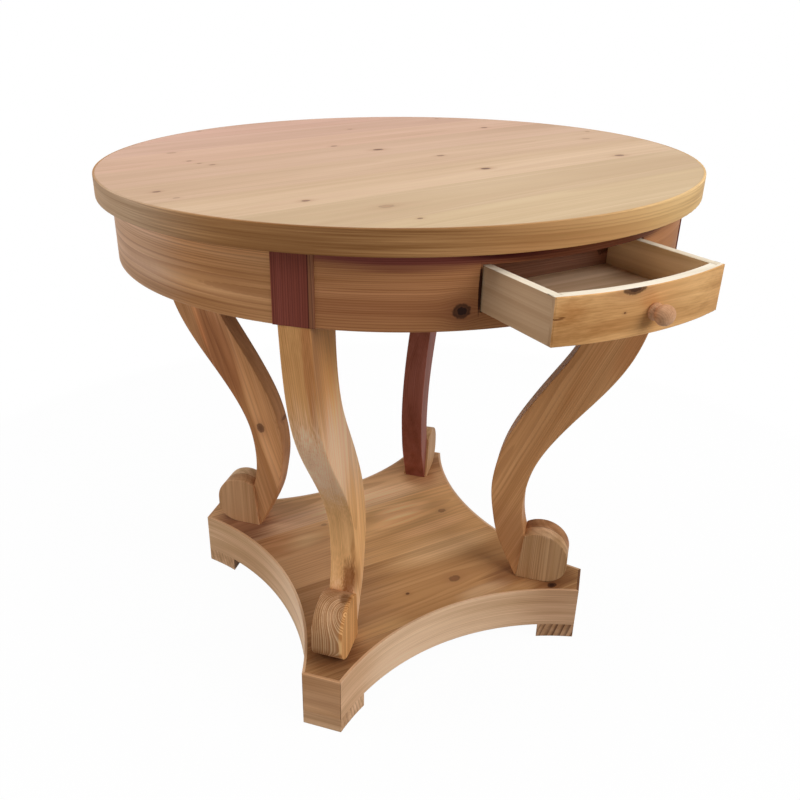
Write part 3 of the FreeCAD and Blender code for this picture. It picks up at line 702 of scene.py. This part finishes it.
class TABLE_OT_legs(bpy.types.Operator):
    """Finish the S-curved legs and the scrolls glued to their feet"""

    bl_idname = "tavern_table.legs"
    bl_label = "Legs"

    def execute(self, context):
        tones = {
            "front_right": (srgb(201, 146, 96), srgb(142, 91, 53)),
            "back_right": (srgb(151, 88, 70), srgb(101, 51, 38)),
            "back_left": (srgb(203, 147, 100), srgb(139, 84, 54)),
            "front_left": (srgb(242, 200, 160), srgb(196, 142, 98)),
        }
        scroll_tones = dict.fromkeys(CORNERS, (srgb(200, 154, 110), srgb(128, 78, 47)))
        scroll_tones["front_left"] = (srgb(170, 120, 80), srgb(226, 190, 146))
        scroll_tones["back_left"] = (srgb(229, 189, 146), srgb(168, 115, 77))
        scroll_figures = {
            "front_left": dict(rings=0.9, grain=0.8, tints=self.dark_crown(-135)),
            "front_right": dict(
                rings=0.5, grain=0.5,
                tints=[
                    *self.lamination(-45),
                    ((0.189, -0.203, 0.186), (0.008, 0.014, 0.03), 0.4, (1.25, 1.35, 1.55)),
                    ((0.200, -0.230, 0.140), (0.2, 0.012, 0.2), 0.3, (0.86, 0.86, 0.84)),
                ],
            ),
        }
        leans = {"front_right": 22, "back_right": 14, "back_left": 16, "front_left": 12}
        figures = {
            "front_right": dict(pith=(0.05, 0.05), rings=0.42, grain=0.35, spells=0.3, stains=0.5),
            "back_right": dict(pith=(0.04, 0.03), rings=0.65, grain=0.45),
            "back_left": dict(pith=(-0.05, 0.02), rings=0.65, grain=0.35, spells=0.4, stains=0.8),
            "front_left": dict(
                pith=(0.16, 0.03), rings=0.7, grain=0.45, spells=0.2, stains=0.2, blotches=0.15
            ),
        }
        knots = {
            "back_left": [
                ((-0.1668, 0.140, 0.297), (0.0075, 0.02, 0.0055), 0.8),
                ((-0.1232, 0.1375, 0.3086), (0.003, 0.01, 0.0024), 0.6),
            ]
        }
        tints = {
            "front_left": [
                # painted shade: the top of the leg's side darkened warm where the apron shades it
                ((-0.250, -0.258, 0.610), (0.10, 0.10, 0.08), 0.5, (0.80, 0.62, 0.38)),
                # painted light lifting the shade along the side's top edge
                ((-0.212, -0.243, 0.610), (0.10, 0.012, 0.04), 0.5, (1.45, 1.38, 1.15)),
                ((-0.2592, -0.2782, 0.605), (0.095, 0.0060, 0.04), 0.35, (0.84, 0.72, 0.70)),
                # painted light on the belly, which faces down, as if lit from the floor
                ((-0.245, -0.236, 0.470), (0.11, 0.034, 0.10), 0.5, (1.28, 1.30, 1.36)),
                ((-0.190, -0.225, 0.440), (0.09, 0.012, 0.10), 0.6, (1.12, 1.10, 1.05)),
                ((-0.160, -0.165, 0.265), (0.11, 0.10, 0.07), 0.5, (1.06, 0.90, 0.62)),
                ((-0.158, -0.173, 0.196), (0.030, 0.010, 0.03), 0.5, (0.44, 0.33, 0.28)),
                ((-0.1545, -0.1765, 0.235), (0.045, 0.0035, 0.02), 0.4, (0.80, 0.72, 0.66)),
            ],
            "back_left": [
                ((-0.2385, 0.2117, 0.480), (0.050, 0.03, 0.0045), 0.4, (1.35, 1.3, 1.25)),
                ((-0.216, 0.189, 0.430), (0.090, 0.03, 0.028), 0.4, (0.76, 0.64, 0.60)),
                ((-0.170, 0.143, 0.310), (0.12, 0.03, 0.030), 0.5, (1.24, 1.25, 1.22)),
            ],
            "front_right": [
                ((0.2427, -0.2695, 0.53), (0.07, 0.03, 0.016), 0.4, (0.92, 0.82, 0.76)),
                ((0.205, -0.231, 0.50), (0.10, 0.03, 0.010), 0.4, (0.94, 0.90, 0.86)),
                ((0.132, -0.150, 0.165), (0.06, 0.03, 0.05), 0.5, (0.84, 0.80, 0.80)),
            ],
        }
        for number, (corner, angle) in enumerate(CORNERS.items()):
            early, late = tones[corner]
            finish_timber(
                "leg_" + corner, standing(angle, 0.27, 0.35, leans[corner]), early, late, taper=0.01,
                wander=0.008, **figures[corner], knots=knots.get(corner, ()), tints=tints.get(corner, ()),
                seed=51.0 + number * 3,
            )
            finish_timber(
                "scroll_" + corner, standing(angle, 0.30, 0.14), *scroll_tones[corner],
                pith=(0.022, 0.015), wander=0.004,
                **scroll_figures.get(corner, dict(rings=0.5, grain=0.35, tints=self.lamination(angle))),
                seed=71.0 + number * 3,
            )
        return {"FINISHED"}

    @staticmethod
    def dark_crown(angle):
        """A small dark patch on the front left scroll's crown, and its golden side."""
        cut = standing(angle, 0.30, 0.14)
        patch = cut.turn.to_matrix() @ Vector((0.045, 0.014, 0.040)) + cut.origin
        return [
            (patch, (0.02, 0.009, 0.010), 0.4, (0.5, 0.42, 0.36)),
            ((-0.1735, -0.206, 0.150), (0.08, 0.006, 0.06), 0.3, (1.45, 1.32, 1.0)),
        ]

    @staticmethod
    def lamination(angle):
        """A scroll's left half, glued on from a redder board, and the dark line between the halves."""
        cut = standing(angle, 0.30, 0.14)
        far, line = (cut.turn.to_matrix() @ Vector((0, aside, 0)) + cut.origin for aside in (0.1, 0.0))
        return [
            (far, (1.0, 0.1, 1.0), 0.004, (0.78, 0.66, 0.58)),
            (line, (0.3, 0.0005, 0.3), 0.4, (0.5, 0.42, 0.36)),
        ]


# ---------------------------------------------------------------- plinth

HOLLOW_REACH = 0.5865
HOLLOW_RADIUS = 0.395
PLINTH_KNOTS = (
    ((0.141, 0.034), 0.0042, 0.5),
    ((0.054, -0.138), 0.0055, 0.55),
    ((-0.034, -0.1355), 0.0020, 0.8),
    ((-0.073, 0.0935), 0.0030, 0.3),
    ((0.184, -0.223), 0.0045, 0.95),
)
# Patches painted on the plinth's top: painted shade round the scrolls and the legs' feet and over the left
# part, painted light and sheen over the boards between them.
PLINTH_PAINTED_LIGHT_AND_SHADE = (
    ((0.202, 0.202), (0.044, 0.044), (0.52, 0.43, 0.39)),
    ((0.165, 0.150), (0.030, 0.030), (0.66, 0.56, 0.50)),
    ((-0.208, 0.158), (0.050, 0.055), (0.46, 0.36, 0.34)),
    ((-0.175, 0.075), (0.040, 0.030), (0.86, 0.76, 0.70)),
    ((-0.200, -0.200), (0.042, 0.042), (0.50, 0.42, 0.38)),
    ((0.200, -0.200), (0.044, 0.044), (0.52, 0.43, 0.39)),
    ((-0.16, 0.00), (0.100, 0.200), (0.78, 0.78, 0.88)),
    ((0.00, 0.125), (0.130, 0.032), (1.45, 1.60, 1.80)),
    ((0.075, 0.070), (0.050, 0.016), (1.45, 1.55, 1.75)),
    ((0.100, 0.000), (0.070, 0.014), (1.28, 1.34, 1.50)),
    ((0.080, -0.064), (0.090, 0.026), (1.45, 1.66, 1.95)),
    ((0.057, 0.043), (0.060, 0.012), (1.50, 1.58, 1.70)),
    ((0.080, -0.183), (0.045, 0.012), (1.25, 1.45, 1.85)),
    ((-0.130, 0.065), (0.040, 0.016), (1.15, 1.28, 1.35)),
    ((0.150, -0.168), (0.046, 0.022), (0.60, 0.54, 0.54)),
    ((-0.115, -0.190), (0.050, 0.024), (1.30, 1.45, 1.55)),
)


class TABLE_OT_plinth(bpy.types.Operator):
    """Finish the plinth's boards, facings, blocks and feet"""

    bl_idname = "tavern_table.plinth"
    bl_label = "Plinth"

    def execute(self, context):
        tones = {
            "plinth_board_1_left": srgb(177, 130, 85),
            "plinth_board_1_right": srgb(195, 148, 100),
            "plinth_board_2": srgb(202, 151, 100),
            "plinth_board_3": srgb(227, 173, 117),
            "plinth_board_4": srgb(227, 177, 128),
        }
        for number, (node, early) in enumerate(tones.items()):
            low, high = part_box(node)
            finish_timber(
                node, StraightCut((low + high) / 2), early, srgb(150, 94, 54),
                pith=(0.03 * cos(number * 2.0), -0.05), rings=1.4, taper=0.02, wander=0.010, grain=0.32,
                streaks=0.45, spells=0.35, stains=0.3, blotches=0.4,
                knots=board_knots(low, high, PLINTH_KNOTS), tints=self.painted_light_and_shade(low, high),
                seed=101.0 + number * 5,
            )
        facing_early, facing_late = srgb(238, 196, 156), srgb(202, 150, 108)
        facing_tints = {
            "front": [
                # painted light across the middle of the front facing
                ((-0.03, -0.193, 0.05), (0.12, 0.1, 0.1), 0.6, (1.12, 1.18, 1.24)),
                # darker towards both ends of the front facing
                ((-0.205, -0.25, 0.05), (0.06, 0.1, 0.1), 0.6, (0.92, 0.86, 0.80)),
                ((0.205, -0.25, 0.05), (0.07, 0.1, 0.1), 0.6, (0.84, 0.79, 0.77)),
            ],
            "left": [
                ((-0.24, 0.13, 0.05), (0.12, 0.1, 0.1), 0.6, (0.84, 0.78, 0.7)),
                ((-0.20, -0.08, 0.05), (0.12, 0.1, 0.1), 0.6, (1.15, 1.2, 1.25)),
            ],
        }
        for number, (side, angle) in enumerate(SIDES.items()):
            axis = (HOLLOW_REACH * cos(radians(angle)), HOLLOW_REACH * sin(radians(angle)))
            finish_timber(
                "plinth_facing_" + side, BentCut(axis, angle + 180, HOLLOW_RADIUS), facing_early,
                facing_late, pith=(-0.05, -0.03), rings=0.9, wander=0.012, grain=0.4, spells=0.25,
                stains=0.4, tints=facing_tints.get(side, ()), seed=131.0 + number * 5,
            )
        foot_tones = (srgb(226, 180, 138), srgb(160, 112, 78))
        dark_foot_tones = (srgb(196, 150, 112), srgb(92, 58, 40))
        corner_tones = (srgb(214, 163, 119), srgb(151, 101, 66))
        # painted shade: the front right corner facing, turned away from the lights, darkened
        corner_painted_shade = {"front_right": (0.35, 0.30, 0.28)}
        for number, (corner, angle) in enumerate(CORNERS.items()):
            corner_cut = StraightCut((0, 0, 0.03), (0, 0, angle + 90))
            turn = corner_cut.turn.to_matrix()
            glue_lines = [turn @ Vector((aside, -0.33, 0)) for aside in (-0.0286, 0.0286)]
            finish_timber(
                "plinth_corner_facing_" + corner, corner_cut,
                *(tuple(np.multiply(tone, corner_painted_shade.get(corner, 1))) for tone in corner_tones),
                pith=(0.35, 0.06), rings=1.3, wander=0.014, grain=0.5,
                tints=[(middle, (0.0005, 0.1, 0.1), 0.4, (0.4, 0.34, 0.3)) for middle in glue_lines],
                seed=151.0 + number * 5,
            )
            dark = corner == "front_right"
            feet = finish_timber(
                "foot_" + corner, corner_cut, *(dark_foot_tones if dark else foot_tones),
                pith=(0.30, 0.16), rings=3.0 if dark else 2.4, wander=0.012, grain=0.9 if dark else 0.55,
                seed=171.0 + number * 5,
            )
            finish_node("plinth_block_" + corner, feet)
        return {"FINISHED"}

    @staticmethod
    def painted_light_and_shade(low, high):
        """The painted light and painted shade that reach over one board."""
        return [
            ((x, y, high.z), (*radii, 0.03), 0.5, tone)
            for (x, y), radii, tone in PLINTH_PAINTED_LIGHT_AND_SHADE
            if low.y < y + radii[1] and y - radii[1] < high.y
        ]


# ---------------------------------------------------------------- drawer

DRAWER_OPEN = 0.108


class TABLE_OT_drawer(bpy.types.Operator):
    """Finish the drawer, its knob and what carries it"""

    bl_idname = "tavern_table.drawer"
    bl_label = "Drawer"

    def execute(self, context):
        material, net, place, shader = new_material("drawer_front")
        bent = BentCut((0, -DRAWER_OPEN), -90, APRON_RADIUS)
        veneer = timber(
            net, place, StraightCut((0, -0.45, 0.70), (90, 0, 0)), srgb(217, 163, 105),
            srgb(177, 121, 71), pith=(0.22, -0.05), rings=1.0, taper=0.02, wander=0.03, grain=0.25,
            blotches=0.8,
            knots=[
                ((-0.0266, -0.493, 0.7150), (0.0105, 0.0050, 0.02), 0.95),
                ((-0.0345, -0.492, 0.6922), (0.0010, 0.0008, 0.02), 0.8),
            ],
            tints=[
                ((-0.0072, -0.494, 0.7020), (0.010, 0.007, 0.03), 0.6, (0.93, 0.85, 0.80)),
                ((-0.1050, -0.480, 0.6935), (0.0060, 0.0006, 0.03), 0.5, (0.3, 0.2, 0.15)),
                ((-0.0990, -0.481, 0.6950), (0.0030, 0.0006, 0.03), 0.5, (0.3, 0.2, 0.15)),
                ((-0.0900, -0.484, 0.7000), (0.012, 0.009, 0.03), 0.8, (0.90, 0.82, 0.74)),
                # painted light on the right of the front, where it turns towards the key light
                ((0.0700, -0.485, 0.6950), (0.040, 0.030, 0.03), 0.8, (1.10, 1.18, 1.24)),
                ((-0.0450, -0.492, 0.6800), (0.030, 0.006, 0.03), 0.6, (0.92, 0.88, 0.84)),
            ],
            seed=203.0,
        )
        # The left side's tone darkens its birch below the rim to a tan that is partly painted shade; the
        # bottom's tone is painted shade inside the drawer. The front's core takes the left side's tone.
        side_tan_and_painted_shade, bottom_painted_shade = (0.60, 0.43, 0.31), (0.82, 0.65, 0.53)
        core = self.birch(net, place, 0, side_tan_and_painted_shade)
        _, _, deep = net.parts(bent.board(net, place))
        skin = net.smooth(deep, -0.0018, -0.0014)
        look = {"Color": net.mix(skin, core["Color"], veneer["Color"])}
        look["Roughness"] = veneer["Roughness"]
        look["Height"] = net.math("MULTIPLY", veneer["Height"], skin)
        coat(net, shader, place, look)
        finish_node("drawer_front", material)
        for node, turn, tone in (
            ("drawer_side_left", 90, side_tan_and_painted_shade),
            ("drawer_side_right", 90, (0.98, 0.78, 0.54)),
            ("drawer_bottom", 0, bottom_painted_shade),
        ):
            material, net, place, shader = new_material(node)
            coat(net, shader, place, self.birch(net, place, turn, tone), 0.6)
            finish_node(node, material)
        # A dark pine for the back and the parts that carry the drawer; the back's darkness, deep in the
        # drawer's pocket, is partly painted shade.
        pine = dict(early=srgb(142, 101, 80), late=srgb(98, 62, 47), rings=0.9, grain=0.5)
        red_knot = [((0.088, -0.332, 0.704), (0.009, 0.03, 0.012), 0.9)]
        finish_timber("drawer_back", StraightCut(), knots=red_knot, **pine)
        for node in ("drawer_runner_left", "drawer_runner_right", "drawer_kicker", "drawer_stop_block"):
            finish_timber(node, StraightCut(turn=(0, 0, 90)), **pine)
        finish_timber(
            "drawer_knob", StraightCut((0, -0.5, 0.69), (0, 0, 90)), srgb(215, 165, 126),
            srgb(150, 99, 66), pith=(0.03, -0.012), rings=0.6, wander=0.003, grain=0.3, seed=231.0,
        )
        return {"FINISHED"}

    @staticmethod
    def birch(net, place, turn, tone):
        """Birch with faint, wide figure, multiplied by a tone below its paler rim."""
        look = timber(
            net, place, StraightCut((0, -0.3, 0.69), (0, 0, turn)), srgb(233, 220, 198),
            srgb(214, 196, 168), pith=(0.05, -0.04), rings=0.6, grain=0.35, streaks=0.22, blotches=0.2,
            seed=211.0,
        )
        rim = net.smooth(net.parts(place)[2], 0.7142, 0.7146)
        look["Color"] = net.vector("MULTIPLY", look["Color"], net.mix(rim, tone, (1.1, 1.12, 1.14)))
        return look


# ---------------------------------------------------------------- fixings


class TABLE_OT_fixings(bpy.types.Operator):
    """Finish the dowels, screws and bolts"""

    bl_idname = "tavern_table.fixings"
    bl_label = "Fixings"

    def execute(self, context):
        finish_timber(
            "joint_dowels", StraightCut(turn=(0, -90, 0)), srgb(214, 176, 136), srgb(182, 138, 98),
            rings=0.4, grain=0.4,
        )
        for node, tone in (
            ("leg_bolts", (0.55, 0.56, 0.58)),
            ("wood_screws", (0.42, 0.40, 0.36)),
            ("top_screws", (0.42, 0.40, 0.36)),
        ):
            material, net, place, shader = new_material(node)
            scratches = net.noise(net.vector("MULTIPLY", place, (900, 900, 300)), 3.0)
            net.feed(shader.inputs["Base Color"], net.mix(scratches, tone, [0.7 * c for c in tone]))
            net.feed(shader.inputs["Roughness"], net.span(scratches, 0.25, 0.45))
            shader.inputs["Metallic"].default_value = 1.0
            finish_node(node, material)
        return {"FINISHED"}


# ---------------------------------------------------------------- stage

FLOOR_RADIUS = 6.0
FLOOR_SIDES = 64
FLOOR_SHADED = 0.35
FLOOR_CLEAR = 1.2
LAMP_AIM = (0, 0, 0.35)
LAMPS = {
    "overhead": ((0.1, 0.1, 3.0), (2.2, 2.2)),
    "key": ((1.47, -2.55, 2.25), (2.6, 2.2)),
    "fill": ((-2.73, 0.99, 1.95), (1.3, 1.3)),
    "front_fill": ((-2.2, -1.6, 0.75), (1.5, 1.2)),
}


class TABLE_OT_stage(bpy.types.Operator):
    """Set the pale floor, the soft lights and the white surroundings"""

    bl_idname = "tavern_table.stage"
    bl_label = "Stage"

    def execute(self, context):
        settings = context.scene.table_stage
        self.make_floor(settings)
        self.make_world(settings)
        for name, (place, size) in LAMPS.items():
            self.make_lamp(name, place, size, getattr(settings, name))
        context.scene.view_settings.view_transform = "Standard"
        return {"FINISHED"}

    @staticmethod
    def make_floor(settings):
        """A flat disc: rings of points at rising reach, each a full turn, joined to their neighbours."""
        reaches = np.array((0.4, 0.8, 1.6, 3.0, FLOOR_RADIUS))
        turns = np.linspace(0, 2 * pi, FLOOR_SIDES, endpoint=False)
        reach, turn = np.meshgrid(reaches, turns, indexing="ij")
        points = np.stack((reach * np.cos(turn), reach * np.sin(turn), np.zeros_like(turn)), -1)
        index = np.arange(reach.size).reshape(reach.shape)
        inner, outer = index[:-1], index[1:]
        quads = np.stack((inner, outer, np.roll(outer, -1, 1), np.roll(inner, -1, 1)), -1)
        faces = [list(range(FLOOR_SIDES))] + quads.reshape(-1, 4).tolist()
        mesh = bpy.data.meshes.new("floor")
        mesh.from_pydata(points.reshape(-1, 3).tolist(), [], faces)
        floor = bpy.data.objects.new("floor", mesh)
        bpy.context.scene.collection.objects.link(floor)
        material, net, place, matt = new_material("floor")
        net.fill(matt, {"Roughness": 0.9, "Specular IOR Level": 0.2})
        glow = net.add("ShaderNodeEmission", {"Color": (1, 1, 1), "Strength": 1.0}).outputs[0]
        seen = net.seen()
        net.feed(matt.inputs["Base Color"], net.mix(seen, settings.floor, settings.floor_seen))
        clear = net.smooth(net.vector("LENGTH", place), FLOOR_SHADED, FLOOR_CLEAR)
        share = net.math("MAXIMUM", clear, 0.97)
        inputs = {0: net.math("MULTIPLY", seen, share), 1: matt.outputs[0], 2: glow}
        mixed = net.add("ShaderNodeMixShader", inputs).outputs[0]
        net.feed(net.tree.nodes["Material Output"].inputs["Surface"], mixed)
        mesh.materials.append(material)

    @staticmethod
    def make_world(settings):
        """White where it is seen or mirrored, and a dimmer light from all round."""
        world = bpy.data.worlds.new("studio")
        world.use_nodes = True
        bpy.context.scene.world = world
        net = Net(world.node_tree)
        strength = net.span(net.seen(), settings.ambient, 1.0)
        net.fill(net.tree.nodes["Background"], {"Color": (1, 1, 1), "Strength": strength})

    @staticmethod
    def make_lamp(name, place, size, power):
        lamp = bpy.data.lights.new(name, "AREA")
        lamp.shape = "RECTANGLE"
        lamp.size, lamp.size_y = size
        lamp.energy = power
        holder = bpy.data.objects.new(name, lamp)
        holder.location = place
        aim = Vector(LAMP_AIM) - Vector(place)
        holder.rotation_euler = aim.to_track_quat("-Z", "Y").to_euler()
        bpy.context.scene.collection.objects.link(holder)


CAMERA_AZIMUTH = -30.077
CAMERA_REACH = 1.1523
CAMERA_HEIGHT = 0.9546
CAMERA_HEADING = 25.79
CAMERA_PITCH = 24.927
CAMERA_ROLL = -0.745
CAMERA_SHIFT = (0.08364, -0.03179)
SENSOR_WIDTH = 36


class TABLE_OT_camera(bpy.types.Operator):
    """Set the camera"""

    bl_idname = "tavern_table.camera"
    bl_label = "Camera"

    def execute(self, context):
        camera = bpy.data.cameras.new("camera")
        camera.sensor_width = SENSOR_WIDTH
        camera.lens = context.scene.table_stage.lens
        camera.shift_x, camera.shift_y = CAMERA_SHIFT
        heading, pitch, roll = radians(CAMERA_HEADING), radians(CAMERA_PITCH), radians(CAMERA_ROLL)
        forward = Vector((sin(heading) * cos(pitch), cos(heading) * cos(pitch), -sin(pitch)))
        level = Vector((cos(heading), -sin(heading), 0))
        upward = level.cross(forward)
        right = level * cos(roll) + upward * sin(roll)
        up = upward * cos(roll) - level * sin(roll)
        azimuth = radians(CAMERA_AZIMUTH)
        place = Vector((CAMERA_REACH * sin(azimuth), -CAMERA_REACH * cos(azimuth), CAMERA_HEIGHT))
        holder = bpy.data.objects.new("camera", camera)
        rotation = Matrix((right, up, -forward)).transposed()
        holder.matrix_world = Matrix.Translation(place) @ rotation.to_4x4()
        context.scene.collection.objects.link(holder)
        context.scene.camera = holder
        return {"FINISHED"}


# ---------------------------------------------------------------- add-on

OPERATORS = (
    TABLE_OT_camera,
    TABLE_OT_stage,
    TABLE_OT_top,
    TABLE_OT_aprons,
    TABLE_OT_legs,
    TABLE_OT_plinth,
    TABLE_OT_drawer,
    TABLE_OT_fixings,
)


class TABLE_PT_looks(bpy.types.Panel):
    """The steps and settings of the table's looks"""

    bl_idname = "TABLE_PT_looks"
    bl_label = "Tavern table"
    bl_space_type = "VIEW_3D"
    bl_region_type = "UI"
    bl_category = "Table"

    def draw(self, context):
        for settings in (context.scene.table_timber, context.scene.table_stage):
            for name in settings.__annotations__:
                self.layout.prop(settings, name)
        for operator in OPERATORS:
            self.layout.operator(operator.bl_idname)


CLASSES = (TimberSettings, StageSettings, *OPERATORS, TABLE_PT_looks)


def register():
    for item in CLASSES:
        bpy.utils.register_class(item)
    bpy.types.Scene.table_timber = bpy.props.PointerProperty(type=TimberSettings)
    bpy.types.Scene.table_stage = bpy.props.PointerProperty(type=StageSettings)


def unregister():
    del bpy.types.Scene.table_stage
    del bpy.types.Scene.table_timber
    for item in reversed(CLASSES):
        bpy.utils.unregister_class(item)


def main():
    register()
    for operator in OPERATORS:
        getattr(bpy.ops.tavern_table, operator.bl_idname.split(".")[1])()


if __name__ == "__main__":
    main()
